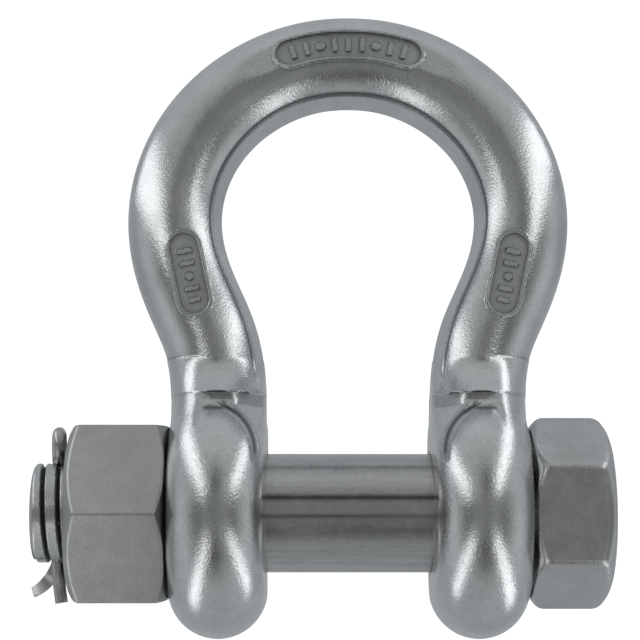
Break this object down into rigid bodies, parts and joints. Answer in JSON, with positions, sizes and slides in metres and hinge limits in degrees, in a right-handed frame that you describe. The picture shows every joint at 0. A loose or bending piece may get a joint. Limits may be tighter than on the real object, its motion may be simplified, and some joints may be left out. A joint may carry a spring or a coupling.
{
  "type": "bow shackle",
  "caption": "Bow (anchor) shackle: a rounded bow with two eyes, closed by a headed bolt, hex nut and split cotter pin.",
  "frame": {"origin": "on the bolt's axis, mid-way between the two ears", "axes": "+X along the bolt towards its head, +Z towards the crown of the bow, +Y across the bow, away from the side with the pads"},
  "size_m": [0.1089, 0.0472, 0.1201],
  "materials": {
    "forged_steel": "tumbled bright stainless steel with a fine grain",
    "bolt_steel": "satin stainless steel, turned shank, pressed head",
    "nut_steel": "satin stainless steel with bright chamfers",
    "cotter_steel": "drawn stainless wire"
  },
  "bodies": {
    "bow": {"bow_body": "forged_steel"},
    "bolt": {"bolt_pin": "bolt_steel"},
    "nut": {"hex_nut": "nut_steel"},
    "cotter": {"cotter_pin": "cotter_steel"}
  },
  "joints": [
    {"name": "bolt_turn", "type": "hinge", "parent": "bow", "child": "bolt", "pos_m": [0, 0, 0], "axis": [1, 0, 0], "continuous": true},
    {"name": "nut_turn", "type": "hinge", "parent": "bolt", "child": "nut", "pos_m": [-0.0431, 0, 0], "axis": [-1, 0, 0], "range_deg": [0, 100]},
    {"name": "cotter_rattle", "type": "slide", "parent": "bolt", "child": "cotter", "axis": [0, -0.0628, 0.998], "range_m": [0, 0.0008]}
  ]
}
